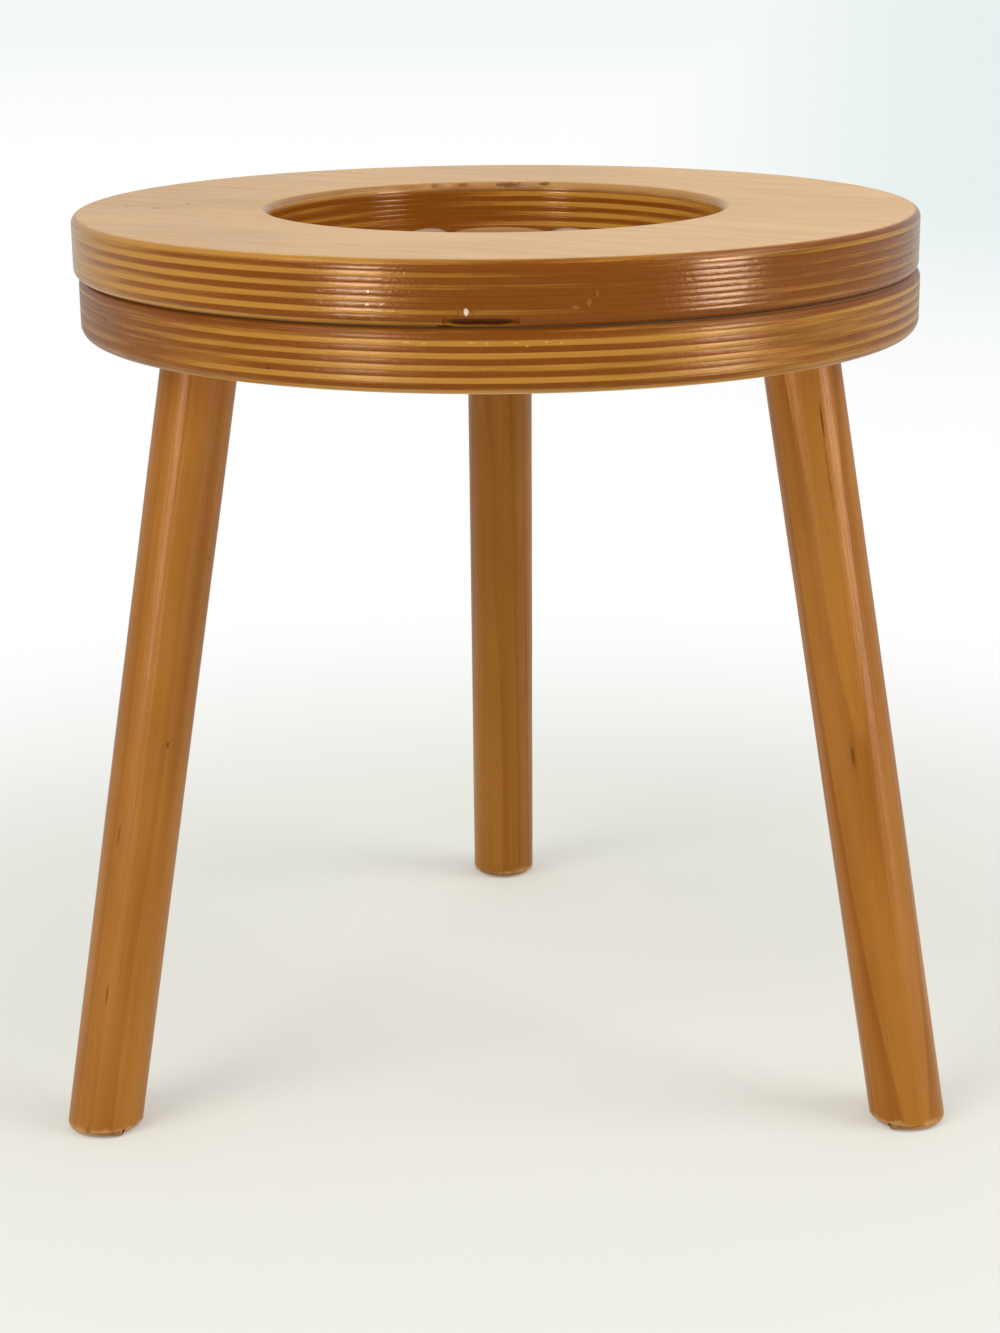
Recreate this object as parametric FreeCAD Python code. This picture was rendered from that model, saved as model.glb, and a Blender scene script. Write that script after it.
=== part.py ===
import FreeCAD, Part
import math
import os

# A low round stool on three splayed legs, built up from plywood and turned dowel rod.
# Two plywood rings, one glued on the other, make the seat, and a round hole goes through both.
# Each leg is a plain round rod. It passes right through the lower ring, where a wedge spreads it,
# and its sawn end is hidden under the upper ring. Three small dowels key the two rings together.
# Millimetres. +Z is up. The origin is on the floor, on the axis that the three legs stand round.
# -Y is the front, where two of the legs stand, and the third leg stands at the back.

# Seat rings
SEAT_HEIGHT = 318.0          # floor to the top of the seat
PLY_COUNT = 11               # veneers in each ring
PLY_THICKNESS = 1.9          # one veneer
UPPER_RING_RADIUS = 150.0
LOWER_RING_INSET = 0.5       # the lower ring's radius is this much less than the upper one's
UPPER_RING_SHIFT = -1.2      # along X: the upper ring was glued on a little to the left
HOLE_RADIUS = 81.0
EDGE_ROUND = 3.0             # every edge of the rings but the two underneath
UNDERSIDE_ROUND = 4.0        # the two lower edges of the lower ring

# Legs
LEG_DIAMETER = 26.4
LEG_SPLAY_DEG = 10.3         # from upright, outwards
FOOT_CHAMFER = 2.2
LEG_PLACES = ("rear", "front_left", "front_right")   # evenly round the stool, from the back

# Wedges that spread the legs in the lower ring
WEDGE_THICKNESS = 3.0        # at the leg's sawn end
WEDGE_TIP = 0.9
WEDGE_LENGTH = 17.0
KERF_WIDTH = 1.2             # the saw cut that the wedge is driven into
KERF_BEYOND_WEDGE = 3.0

# Dowels that key the rings
DOWEL_DIAMETER = 8.0
DOWEL_LENGTH = 30.0
DOWEL_HOLE_SPARE = 1.0       # room for glue at each end of a dowel
DOWEL_PLACES = ("left", "front", "right")            # each halfway between two legs, from the back

GLUE_LINE = 0.05             # all round each leg and dowel in its hole

# Heights and lengths that follow from the sizes above
RING_THICKNESS = PLY_COUNT * PLY_THICKNESS
LOWER_RING_RADIUS = UPPER_RING_RADIUS - LOWER_RING_INSET
JOINT_HEIGHT = SEAT_HEIGHT - RING_THICKNESS
UNDERSIDE_HEIGHT = JOINT_HEIGHT - RING_THICKNESS
MIDDLE_OF_RIM = (HOLE_RADIUS + LOWER_RING_RADIUS) / 2
LEG_RADIUS = LEG_DIAMETER / 2
LEG_SPLAY = math.radians(LEG_SPLAY_DEG)
LEG_HEAD = JOINT_HEIGHT / math.cos(LEG_SPLAY)

# A leg's axis goes through the middle of the lower ring's section, which sets where its foot stands
FOOT_CIRCLE_RADIUS = MIDDLE_OF_RIM + math.tan(LEG_SPLAY) * (UNDERSIDE_HEIGHT + RING_THICKNESS / 2)

OVERRUN = LEG_DIAMETER       # how far tools and blanks run past the planes that trim them
UP = FreeCAD.Vector(0, 0, 1)
ORIGIN = FreeCAD.Vector(0, 0, 0)
BACK_DEG = 90                # the azimuth of +Y, from +X


def rim_edges(solid, height):
    """The round edges of a ring that lie at one height."""
    tolerance = 0.01
    return [edge for edge in solid.Edges
            if abs(edge.BoundBox.ZMin - height) < tolerance and abs(edge.BoundBox.ZMax - height) < tolerance]


def ring(radius, bottom, low_round, high_round):
    """A flat ring with rounded edges, round the Z axis."""
    blank = Part.makeCylinder(radius, RING_THICKNESS, FreeCAD.Vector(0, 0, bottom))
    hole = Part.makeCylinder(HOLE_RADIUS, RING_THICKNESS + 2 * OVERRUN, FreeCAD.Vector(0, 0, bottom - OVERRUN))
    body = blank.cut(hole)
    body = body.makeFillet(low_round, rim_edges(body, bottom))
    return body.makeFillet(high_round, rim_edges(body, bottom + RING_THICKNESS))


def splayed(shape):
    """Lean a shape that stands on the Z axis as a leg leans, and set its foot out along +X."""
    leaning = shape.copy()
    leaning.rotate(ORIGIN, FreeCAD.Vector(0, 1, 0), -LEG_SPLAY_DEG)
    leaning.translate(FreeCAD.Vector(FOOT_CIRCLE_RADIUS, 0, 0))
    return leaning


def turned(shape, azimuth_deg):
    """A copy of a shape, turned about the stool's axis."""
    copy = shape.copy()
    copy.rotate(ORIGIN, UP, azimuth_deg)
    return copy


def leg_rod(radius):
    """A round rod on a leg's axis, longer than the leg at both ends."""
    rod = Part.makeCylinder(radius, LEG_HEAD + 2 * OVERRUN, FreeCAD.Vector(0, 0, -OVERRUN))
    return splayed(rod)


def wedge_blank():
    """The wedge before it is trimmed to the leg: it tapers downwards and lies in a plane through the axis."""
    half_thickness = WEDGE_THICKNESS / 2
    half_tip = WEDGE_TIP / 2
    tip_height = LEG_HEAD - WEDGE_LENGTH
    top_height = LEG_HEAD + OVERRUN
    outline = [
        (half_tip, tip_height),
        (half_thickness, LEG_HEAD),
        (half_thickness, top_height),
        (-half_thickness, top_height),
        (-half_thickness, LEG_HEAD),
        (-half_tip, tip_height),
    ]
    points = [FreeCAD.Vector(-OVERRUN, across, height) for across, height in outline]
    face = Part.Face(Part.makePolygon(points + points[:1]))
    return splayed(face.extrude(FreeCAD.Vector(2 * OVERRUN, 0, 0)))


def kerf():
    """The saw cut in the leg's end."""
    depth = WEDGE_LENGTH + KERF_BEYOND_WEDGE
    corner = FreeCAD.Vector(-OVERRUN, -KERF_WIDTH / 2, LEG_HEAD - depth)
    return splayed(Part.makeBox(2 * OVERRUN, KERF_WIDTH, depth + OVERRUN, corner))


def between_floor_and_joint():
    """The space that trims a leg flat at the floor and flush with the top of the lower ring."""
    reach = FOOT_CIRCLE_RADIUS + LEG_DIAMETER
    return Part.makeCylinder(reach, JOINT_HEIGHT)


def leg_and_wedge():
    """A leg and its wedge, with the foot on +X."""
    trimming = between_floor_and_joint()
    rod = leg_rod(LEG_RADIUS).common(trimming)
    foot_edges = [edge for edge in rod.Edges if edge.BoundBox.ZMax < FOOT_CHAMFER / 2]
    rod = rod.makeChamfer(FOOT_CHAMFER, foot_edges)
    wedge = wedge_blank().common(rod)
    leg = rod.cut(kerf()).cut(wedge_blank())
    return leg, wedge


def dowel():
    """A dowel that lies across the joint, on +X."""
    foot = FreeCAD.Vector(MIDDLE_OF_RIM, 0, JOINT_HEIGHT - DOWEL_LENGTH / 2)
    return Part.makeCylinder(DOWEL_DIAMETER / 2, DOWEL_LENGTH, foot)


def dowel_hole():
    """The hole that a dowel sits in, through both rings' meeting faces."""
    length = DOWEL_LENGTH + 2 * DOWEL_HOLE_SPARE
    foot = FreeCAD.Vector(MIDDLE_OF_RIM, 0, JOINT_HEIGHT - length / 2)
    return Part.makeCylinder(DOWEL_DIAMETER / 2 + GLUE_LINE, length, foot)


def build():
    """Every piece of the stool, by name."""
    upper_ring = ring(UPPER_RING_RADIUS, JOINT_HEIGHT, EDGE_ROUND, EDGE_ROUND)
    upper_ring.translate(FreeCAD.Vector(UPPER_RING_SHIFT, 0, 0))
    lower_ring = ring(LOWER_RING_RADIUS, UNDERSIDE_HEIGHT, UNDERSIDE_ROUND, EDGE_ROUND)
    pieces = {}

    leg, wedge = leg_and_wedge()
    leg_bore = leg_rod(LEG_RADIUS + GLUE_LINE)
    leg_step = 360 / len(LEG_PLACES)
    for index, place in enumerate(LEG_PLACES):
        azimuth = BACK_DEG + index * leg_step
        lower_ring = lower_ring.cut(turned(leg_bore, azimuth))
        pieces["leg_" + place] = turned(leg, azimuth)
        pieces["wedge_" + place] = turned(wedge, azimuth)

    for index, place in enumerate(DOWEL_PLACES):
        azimuth = BACK_DEG + (index + 0.5) * leg_step
        hole = turned(dowel_hole(), azimuth)
        upper_ring = upper_ring.cut(hole)
        lower_ring = lower_ring.cut(hole)
        pieces["dowel_" + place] = turned(dowel(), azimuth)

    pieces["upper_ring"] = upper_ring
    pieces["lower_ring"] = lower_ring
    return pieces


os.makedirs("parts", exist_ok=True)
for name, shape in build().items():
    shape.exportStep("parts/" + name + ".step")
    box = shape.BoundBox
    print(name, "solids", len(shape.Solids), "valid", shape.isValid(), "volume", round(shape.Volume),
          "z", round(box.ZMin, 2), round(box.ZMax, 2))
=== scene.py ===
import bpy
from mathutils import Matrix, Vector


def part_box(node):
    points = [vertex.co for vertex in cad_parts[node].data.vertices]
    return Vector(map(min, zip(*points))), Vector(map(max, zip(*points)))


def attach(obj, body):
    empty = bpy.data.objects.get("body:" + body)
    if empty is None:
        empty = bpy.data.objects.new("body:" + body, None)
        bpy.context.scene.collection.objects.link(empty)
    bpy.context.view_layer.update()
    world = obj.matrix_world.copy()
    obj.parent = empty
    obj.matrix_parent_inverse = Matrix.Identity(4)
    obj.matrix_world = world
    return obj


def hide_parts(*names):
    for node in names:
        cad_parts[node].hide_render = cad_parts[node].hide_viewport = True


bl_info = {
    "name": "Three-legged plywood stool",
    "version": (1, 0, 0),
    "blender": (4, 5, 0),
    "location": "View3D > Sidebar > Stool",
    "description": "Builds the finished look of a low stool: two plywood rings on three round legs",
    "category": "Add Mesh",
}

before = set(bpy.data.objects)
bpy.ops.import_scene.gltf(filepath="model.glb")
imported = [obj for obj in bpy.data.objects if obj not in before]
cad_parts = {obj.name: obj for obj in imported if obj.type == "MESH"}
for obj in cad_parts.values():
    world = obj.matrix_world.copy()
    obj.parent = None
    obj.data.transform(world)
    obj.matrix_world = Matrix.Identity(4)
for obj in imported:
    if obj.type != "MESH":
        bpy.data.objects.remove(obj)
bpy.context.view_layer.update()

import math

import bmesh
import bpy
from bpy.props import FloatProperty, FloatVectorProperty, IntProperty, PointerProperty
from mathutils import Matrix, Vector

# Names of the stool's body and of the solid model's parts
BODY = "root"
LEG_PLACES = ("rear", "front_left", "front_right")
DOWEL_PLACES = ("left", "front", "right")
RINGS = ("upper_ring", "lower_ring")

# How near two heights or lengths are that count as the same, in metres
HAIR = 0.00001
FLOOR_RADIUS = 24
FLOOR_BORDER = 22
FLOOR_GAP = 0.0003


def linear(red, green, blue):
    """A colour written as on a screen, 0 to 255, as Blender's linear values."""
    shares = [channel / 255 for channel in (red, green, blue)]
    return tuple(s / 12.92 if s <= 0.04045 else ((s + 0.055) / 1.055) ** 2.4 for s in shares)


# Sizes read from the solid model

def corners(node):
    """The places of a solid's vertices."""
    return [vertex.co.copy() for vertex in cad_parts[node].data.vertices]


def at_height(points, height):
    """The points that lie in one level."""
    return [point for point in points if abs(point.z - height) < HAIR]


def middle(points):
    """The middle of the box round some points."""
    low = Vector([min(point[axis] for point in points) for axis in range(3)])
    high = Vector([max(point[axis] for point in points) for axis in range(3)])
    return (low + high) / 2


def ring_sizes(node):
    """A ring's centre, levels, radii, and how far its upper and lower edges are rounded."""
    points = corners(node)
    centre = middle(points)
    low = min(point.z for point in points)
    high = max(point.z for point in points)

    def radii(some):
        return [math.hypot(point.x - centre.x, point.y - centre.y) for point in some]

    outer = max(radii(points))
    return {
        "centre": Vector((centre.x, centre.y, 0)),
        "low": low,
        "high": high,
        "outer": outer,
        "hole": min(radii(points)),
        "upper_round": outer - max(radii(at_height(points, high))),
        "lower_round": outer - max(radii(at_height(points, low))),
    }


RING = {node: ring_sizes(node) for node in RINGS}
JOINT_HEIGHT = RING["upper_ring"]["low"]
LEG_LOW, LEG_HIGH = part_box("leg_rear")
LEG_RADIUS = round((LEG_HIGH.x - LEG_LOW.x) / 2, 4)


def leg_line(place):
    """Where a leg's axis meets the floor and the joint between the rings."""
    points = corners("leg_" + place)
    return middle(at_height(points, 0.0)), middle(at_height(points, JOINT_HEIGHT))


def leg_turn(place):
    """The turn from a rod that stands upright to a leg."""
    foot, head = leg_line(place)
    return (head - foot).to_track_quat("Z", "Y")


# Sizes and colours that a user would change

class StoolRingSettings(bpy.types.PropertyGroup):
    """The two seat rings."""
    plies: IntProperty(
        name="Plies", description="Veneers glued up in each ring", default=11, min=3, max=21)
    steps: IntProperty(
        name="Steps Round", description="Faces round a ring", default=400, min=48, max=720)
    groove: FloatProperty(
        name="Glue Groove", description="How deep the glue lines lie below the plies",
        default=0.00006, min=0, max=0.001, unit="LENGTH", precision=5)
    groove_width: FloatProperty(
        name="Groove Width", description="How wide the worn hollow at a glue line is",
        default=0.00080, min=0.0001, max=0.0018, unit="LENGTH", precision=5)
    void_depth: FloatProperty(
        name="Void Depth", description="How deep the missing bit of core veneer goes",
        default=0.0010, min=0, max=0.005, unit="LENGTH", precision=4)
    upper_grain: FloatProperty(
        name="Upper Grain", description="Which way the top veneer's grain runs, from the X axis",
        default=math.radians(-29), subtype="ANGLE")
    lower_grain: FloatProperty(
        name="Lower Grain", description="Which way the lower ring's first veneer runs",
        default=math.radians(-5), subtype="ANGLE")


class StoolLegSettings(bpy.types.PropertyGroup):
    """The three legs."""
    sides: IntProperty(
        name="Sides", description="Faces round a leg", default=80, min=24, max=160)
    foot_bevel: FloatProperty(
        name="Foot Bevel", description="How far the foot's edge is worn and rounded",
        default=0.0022, min=0.0005, max=0.005, unit="LENGTH", precision=4)
    unevenness: FloatProperty(
        name="Unevenness", description="How far a leg's surface strays from a true cylinder",
        default=0.00016, min=0, max=0.001, unit="LENGTH", precision=5)
    kerf: FloatProperty(
        name="Saw Cut", description="Width of the saw cut that takes the wedge",
        default=0.0012, min=0.0005, max=0.003, unit="LENGTH", precision=4)
    kerf_depth: FloatProperty(
        name="Saw Cut Depth", description="How far the saw cut goes down from the leg's head",
        default=0.020, min=0.005, max=0.03, unit="LENGTH", precision=4)


class StoolFinishSettings(bpy.types.PropertyGroup):
    """Colours of the wood under its varnish."""
    ply_light: FloatVectorProperty(
        name="Long Grain Ply", description="A ply's edge where the grain runs along it",
        subtype="COLOR", size=3, min=0, max=1, default=linear(192, 134, 52))
    ply_dark: FloatVectorProperty(
        name="End Grain Ply", description="A ply's edge where the grain points out of it",
        subtype="COLOR", size=3, min=0, max=1, default=linear(134, 71, 6))
    glue: FloatVectorProperty(
        name="Glue Line", description="The thin dark line between two plies",
        subtype="COLOR", size=3, min=0, max=1, default=linear(86, 36, 4))
    face: FloatVectorProperty(
        name="Seat Face", description="The veneer on the top and the underside",
        subtype="COLOR", size=3, min=0, max=1, default=linear(219, 181, 137))
    leg_light: FloatVectorProperty(
        name="Leg Early Wood", description="The lighter part of a leg's growth rings",
        subtype="COLOR", size=3, min=0, max=1, default=linear(180, 118, 46))
    leg_dark: FloatVectorProperty(
        name="Leg Late Wood", description="The darker part of a leg's growth rings",
        subtype="COLOR", size=3, min=0, max=1, default=linear(146, 84, 16))
    bare: FloatVectorProperty(
        name="Bare Wood", description="Wood where the varnish is worn off or never was",
        subtype="COLOR", size=3, min=0, max=1, default=linear(206, 158, 104))


class StoolStageSettings(bpy.types.PropertyGroup):
    """Camera, lights and floor."""
    camera_place: FloatVectorProperty(
        name="Camera Place", description="Where the camera stands", subtype="TRANSLATION",
        unit="LENGTH", size=3, default=(-0.00094, -0.90852, 0.41663))
    camera_pitch: FloatProperty(
        name="Camera Pitch", description="How far the camera looks down",
        subtype="ANGLE", default=math.radians(16.6107))
    camera_roll: FloatProperty(
        name="Camera Roll", description="How far the camera is turned about its view",
        subtype="ANGLE", default=math.radians(-0.4758))
    lens: FloatProperty(
        name="Lens", description="Focal length", unit="CAMERA", default=67.953)
    window_power: FloatProperty(
        name="Window Power",
        description="Power of the low left window that the varnish mirrors",
        unit="POWER", default=17.0)
    lamp_power: FloatProperty(
        name="Lamp Power", description="Power of each soft box", unit="POWER", default=11.0)
    ambient: FloatProperty(
        name="Room Light", description="Strength of the even light all round", default=0.62)


def settings():
    return bpy.context.scene.stool


class StoolSettings(bpy.types.PropertyGroup):
    """All the stool's settings."""
    rings: PointerProperty(name="Rings", description="The seat rings", type=StoolRingSettings)
    legs: PointerProperty(name="Legs", description="The legs", type=StoolLegSettings)
    finish: PointerProperty(name="Finish", description="Wood colours", type=StoolFinishSettings)
    stage: PointerProperty(name="Stage", description="Camera and light", type=StoolStageSettings)


# Modelling helpers

def deselect_all():
    for item in bpy.context.selected_objects:
        item.select_set(False)


def start_piece(name):
    """Names the primitive just added, and puts its place into its mesh."""
    piece = bpy.context.object
    piece.name = name
    piece.data.name = name
    bpy.ops.object.transform_apply(location=True, rotation=True, scale=True)
    return piece


def work_on(piece):
    """Makes a piece the only one selected, and the active one."""
    deselect_all()
    piece.select_set(True)
    bpy.context.view_layer.objects.active = piece


def choose(kind, test):
    """Selects the vertices, edges or faces of the edited mesh that pass a test."""
    bpy.ops.mesh.select_mode(type=kind)
    bpy.ops.mesh.select_all(action="DESELECT")
    mesh = bpy.context.edit_object.data
    shape = bmesh.from_edit_mesh(mesh)
    items = {"VERT": shape.verts, "EDGE": shape.edges, "FACE": shape.faces}[kind]
    count = 0
    for item in items:
        if test(item):
            item.select_set(True)
            count += 1
    shape.select_flush_mode()
    bmesh.update_edit_mesh(mesh)
    return count


def must(done, what):
    """Stops the script where a step of the work found nothing to work on."""
    if not done:
        raise RuntimeError("nothing was found for " + what)


def azimuth(place, centre):
    """The bearing of a place round a centre, in degrees from the X axis."""
    return math.degrees(math.atan2(place.y - centre.y, place.x - centre.x))


def apply_modifier(piece, kind, **values):
    """Adds a modifier, sets it and applies it."""
    work_on(piece)
    modifier = piece.modifiers.new(kind.title(), kind)
    for name, value in values.items():
        setattr(modifier, name, value)
    bpy.ops.object.modifier_apply(modifier=modifier.name)


def cut_with(piece, cutter):
    """Cuts one shape out of a piece, and removes the cutter."""
    before = len(piece.data.vertices)
    apply_modifier(piece, "BOOLEAN", operation="DIFFERENCE", solver="EXACT", object=cutter)
    bpy.data.objects.remove(cutter)
    must(len(piece.data.vertices) != before, "a cut in " + piece.name)


def joined(shapes):
    """Joins shapes into the first one."""
    deselect_all()
    for shape in shapes:
        shape.select_set(True)
    bpy.context.view_layer.objects.active = shapes[0]
    bpy.ops.object.join()
    return shapes[0]


def add_rod(name, start, end, radius, sides):
    """Adds a cylinder from one point to another."""
    deselect_all()
    bpy.ops.mesh.primitive_cylinder_add(
        vertices=sides, radius=radius, depth=(end - start).length, location=(start + end) / 2,
        rotation=(end - start).to_track_quat("Z", "Y").to_euler())
    return start_piece(name)


def finish_piece(piece, nodes, angle):
    """Smooths a finished piece, sets it on the stool's body and hides the solids it stands for."""
    work_on(piece)
    bpy.ops.object.shade_smooth_by_angle(angle=math.radians(angle))
    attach(piece, BODY)
    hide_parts(*nodes)


# Material helpers

class Wiring:
    """Adds nodes to a tree and joins them."""

    def __init__(self, tree):
        self.tree = tree

    def join(self, value, socket):
        if isinstance(value, bpy.types.NodeSocket):
            self.tree.links.new(value, socket)
        elif socket.type == "RGBA":
            socket.default_value = (*value[:3], 1)
        else:
            socket.default_value = value

    def add(self, kind, inputs=(), **values):
        node = self.tree.nodes.new("ShaderNode" + kind)
        for name, value in values.items():
            setattr(node, name, value)
        for key, value in dict(inputs).items():
            self.join(value, node.inputs[key])
        return node

    def math(self, operation, *values, clamp=False):
        node = self.add("Math", enumerate(values), operation=operation, use_clamp=clamp)
        return node.outputs[0]

    def vector(self, operation, *values):
        return self.add("VectorMath", enumerate(values), operation=operation).outputs[0]

    def length(self, vector):
        return self.add("VectorMath", {0: vector}, operation="LENGTH").outputs["Value"]

    def scaled(self, vector, x, y, z):
        return self.vector("MULTIPLY", vector, (x, y, z))

    def parts(self, vector):
        return self.add("SeparateXYZ", {0: vector}).outputs

    def turned(self, vector, angle):
        """The vector as seen from a frame turned by an angle about Z."""
        back = self.math("MULTIPLY", angle, -1.0)
        node = self.add("VectorRotate", {"Vector": vector, "Angle": back}, rotation_type="Z_AXIS")
        return node.outputs[0]

    def noise(self, vector, scale, detail=2.0, roughness=0.5):
        node = self.add("TexNoise", {
            "Vector": vector, "Scale": scale, "Detail": detail, "Roughness": roughness})
        return node.outputs["Fac"]

    def warp(self, vector, scale, strength):
        """The vector pushed about by soft noise."""
        node = self.add("TexNoise", {"Vector": vector, "Scale": scale, "Detail": 1.0})
        shift = self.vector("SUBTRACT", node.outputs["Color"], (0.5, 0.5, 0.5))
        return self.vector("ADD", vector, self.scaled(shift, strength, strength, strength))

    def step(self, value, low, high, first=0.0, last=1.0):
        """Runs smoothly from first at low to last at high."""
        node = self.add("MapRange", {0: value, 1: low, 2: high, 3: first, 4: last},
                        interpolation_type="SMOOTHSTEP")
        return node.outputs[0]

    def spread(self, value, low, high, first=0.0, last=1.0):
        """Runs evenly from first at low to last at high."""
        return self.add("MapRange", {0: value, 1: low, 2: high, 3: first, 4: last}).outputs[0]

    def mix(self, factor, first, second, blend="MIX"):
        node = self.add("Mix", {0: factor, 6: first, 7: second}, data_type="RGBA", blend_type=blend)
        return node.outputs[2]

    def blend(self, factor, first, second):
        return self.add("Mix", {0: factor, 2: first, 3: second}, data_type="FLOAT").outputs[0]

    def shade(self, colour, factor):
        """The colour made lighter or darker by a factor."""
        grey = self.add("CombineXYZ", {0: factor, 1: factor, 2: factor}).outputs[0]
        return self.mix(1.0, colour, grey, "MULTIPLY")

    def group(self, name, **values):
        node = self.add("Group", node_tree=bpy.data.node_groups[name])
        for key, value in values.items():
            self.join(value, node.inputs[key.replace("_", " ").title()])
        return node.outputs


SOCKETS = {"vector": "NodeSocketVector", "value": "NodeSocketFloat", "colour": "NodeSocketColor"}


def new_group(name, inputs, outputs):
    """A shader node group with named inputs and outputs."""
    tree = bpy.data.node_groups.new(name, "ShaderNodeTree")
    for label, kind in inputs.items():
        tree.interface.new_socket(label, in_out="INPUT", socket_type=SOCKETS[kind])
    for label, kind in outputs.items():
        tree.interface.new_socket(label, in_out="OUTPUT", socket_type=SOCKETS[kind])
    wiring = Wiring(tree)
    return wiring, tree.nodes.new("NodeGroupInput").outputs, tree.nodes.new("NodeGroupOutput").inputs


def make_ply_edges():
    """The edges of glued veneers, each light or dark as its grain meets the rim."""
    w, given, out = new_group(
        "ply_edges",
        {"Place": "vector", "Facing": "vector", "Grain": "value", "Ply": "value",
         "Tone": "value",
         "Light": "colour", "Dark": "colour", "Glue": "colour"},
        {"Color": "colour", "Height": "value", "Line": "value"})
    place = given["Place"]
    # Depth below the ring's top in plies, a little uneven
    sway = w.noise(place, 14.0, 1.0)
    depth = w.math("DIVIDE", w.parts(place)["Z"], given["Ply"])
    depth = w.math("MULTIPLY_ADD", w.math("SUBTRACT", sway, 0.5), 0.16, w.math("MULTIPLY", depth, -1.0))
    depth = w.math("MINIMUM", w.math("MAXIMUM", depth, 0.001), 10.999)
    index = w.math("FLOOR", depth)
    within = w.math("FRACT", depth)
    # How far the grain of this ply points out of the surface
    facing = w.parts(w.turned(given["Facing"], given["Grain"]))
    along = w.math("POWER", w.math("ABSOLUTE", facing["X"]), 2.0)
    across = w.math("POWER", w.math("ABSOLUTE", facing["Y"]), 2.0)
    odd = w.math("MODULO", index, 2.0)
    nearest = w.math("MINIMUM", within, w.math("SUBTRACT", 1.0, within))
    both = w.math("MULTIPLY", w.math("ADD", along, across), 0.5)
    end_grain = w.blend(w.step(nearest, -0.06, 0.20), both, w.blend(odd, along, across))
    # Each ply is its own sheet of wood
    sheet = w.add("TexWhiteNoise", {"W": w.math("ADD", index, 0.37)}, noise_dimensions="1D")
    tone = sheet.outputs["Value"]
    # Long fine streaks where the grain runs along the rim, pores where it points out
    shifted = w.vector("ADD", place, w.vector("MULTIPLY", sheet.outputs["Color"], (0.7, 0.9, 0.0)))
    streaks = w.noise(w.scaled(shifted, 55.0, 55.0, 3600.0), 1.0, 3.0, 0.62)
    broad = w.noise(w.scaled(shifted, 22.0, 22.0, 420.0), 1.0, 2.0)
    pores = w.noise(w.scaled(shifted, 1300.0, 1300.0, 700.0), 1.0, 2.0, 0.7)
    light = w.math("SUBTRACT", w.math("ADD", 1.0, given["Tone"]), end_grain)
    light = w.math("ADD", light, w.spread(broad, 0.3, 0.7, -0.20, 0.20))
    light = w.math("ADD", light, w.spread(streaks, 0.3, 0.7, -0.16, 0.16))
    light = w.math("ADD", light, w.spread(tone, 0.0, 1.0, -0.14, 0.14))
    light = w.step(light, 0.12, 1.0)
    colour = w.mix(light, given["Dark"], given["Light"])
    grainy = w.blend(
        end_grain, w.spread(streaks, 0.25, 0.75, 0.90, 1.08), w.spread(pores, 0.25, 0.75, 0.84, 1.10))
    colour = w.shade(colour, grainy)
    # Glue lines, strong in places and almost gone in others
    upright = w.step(w.math("ABSOLUTE", w.parts(given["Facing"])["Z"]), 0.75, 0.97, 1.0, 0.0)
    strength = w.spread(w.noise(w.scaled(shifted, 30.0, 30.0, 900.0), 1.0, 1.0), 0.35, 0.65, 0.25, 1.0)
    line = w.math("MULTIPLY", w.step(nearest, 0.02, 0.13, 1.0, 0.0), w.math("MULTIPLY", upright, strength))
    colour = w.mix(w.math("MULTIPLY", line, 0.35), colour, given["Glue"])
    beads = w.noise(w.scaled(shifted, 420.0, 420.0, 1500.0), 1.0, 2.0, 0.6)
    proud = w.step(nearest, 0.0, 0.26)
    relief = w.math(
        "MULTIPLY_ADD", w.math("MULTIPLY", proud, end_grain), 0.10, w.math("MULTIPLY", beads, 0.26))
    relief = w.math("MULTIPLY_ADD", streaks, 0.06, relief)
    pearls = w.noise(place, 900.0, 1.0)
    relief = w.math("MULTIPLY_ADD", pearls, 0.30, relief)
    relief = w.math("MULTIPLY_ADD", w.math("MULTIPLY", pores, end_grain), 0.05, relief)
    w.join(colour, out["Color"])
    w.join(w.math("SUBTRACT", relief, w.math("MULTIPLY", line, 0.15)), out["Height"])
    w.join(line, out["Line"])


def make_face_grain():
    """Peeled veneer seen flat on, with broad soft figure along the grain."""
    w, given, out = new_group(
        "face_grain", {"Place": "vector", "Grain": "value", "Wood": "colour"},
        {"Color": "colour", "Height": "value"})
    flat = w.turned(given["Place"], given["Grain"])
    bent = w.warp(flat, 9.0, 0.020)
    figure = w.noise(w.scaled(bent, 5.0, 52.0, 5.0), 1.0, 2.5, 0.55)
    fine = w.noise(w.scaled(flat, 38.0, 1500.0, 38.0), 1.0, 2.0, 0.6)
    cloud = w.noise(flat, 7.0, 2.0)
    rings = w.math("PINGPONG", w.math("MULTIPLY", figure, 5.0), 0.5)
    factor = w.spread(rings, 0.0, 0.5, 0.93, 1.04)
    factor = w.math("MULTIPLY", factor, w.spread(fine, 0.3, 0.7, 0.95, 1.04))
    factor = w.math("MULTIPLY", factor, w.spread(cloud, 0.3, 0.7, 0.93, 1.06))
    w.join(w.shade(given["Wood"], factor), out["Color"])
    w.join(fine, out["Height"])


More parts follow.
